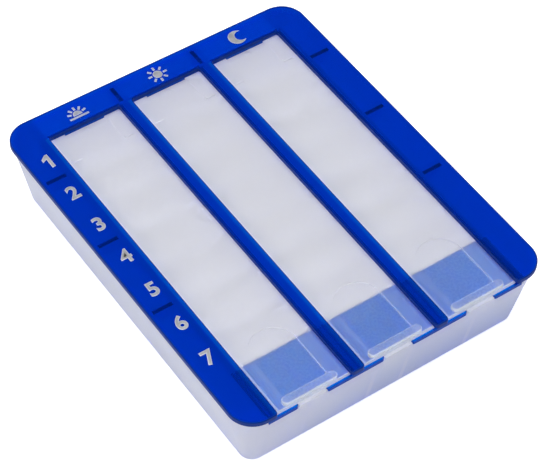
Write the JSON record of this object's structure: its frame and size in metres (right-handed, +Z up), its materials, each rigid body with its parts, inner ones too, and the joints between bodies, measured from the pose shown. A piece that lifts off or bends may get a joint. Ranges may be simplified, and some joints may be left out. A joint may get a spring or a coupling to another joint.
{
  "type": "weekly pill organizer",
  "caption": "Flat pill box: a frosted tray of small cells under a clear blue cover plate, with long frosted lids that slide out of the front.",
  "frame": {"origin": "middle of the tray's flat underside, which is also the bottom centre of the part", "axes": "+Z up; +Y to the rear, the row of day one; +X to the right as seen from the front, where the lids come out"},
  "size_m": [0.093, 0.115, 0.0226],
  "materials": {
    "frosted_tray": "natural polypropylene, milky and translucent, semi-gloss, slightly bluish",
    "blue_cover": "transparent deep blue polystyrene, high gloss, lighter along its edges",
    "frosted_lid": "natural polypropylene, thin and translucent, so the partitions show through",
    "silver_foil": "silver foil stamped on the cover: the day digits and the signs on the rear rim"
  },
  "bodies": {
    "tray": {"tray": "frosted_tray"},
    "cover": {"cover": "blue_cover"},
    "lid_left": {"sliding_lid_left": "frosted_lid"},
    "lid_middle": {"sliding_lid_middle": "frosted_lid"},
    "lid_right": {"sliding_lid_right": "frosted_lid"}
  },
  "joints": [
    {"name": "cover_lift", "type": "slide", "parent": "tray", "child": "cover", "axis": [0, 0, 1], "range_m": [0, 0.03]},
    {"name": "lid_left_slide", "type": "slide", "parent": "cover", "child": "lid_left", "axis": [0, -1, 0], "range_m": [0, 0.0873]},
    {"name": "lid_middle_slide", "type": "slide", "parent": "cover", "child": "lid_middle", "axis": [0, -1, 0], "range_m": [0, 0.0873]},
    {"name": "lid_right_slide", "type": "slide", "parent": "cover", "child": "lid_right", "axis": [0, -1, 0], "range_m": [0, 0.0873]}
  ]
}
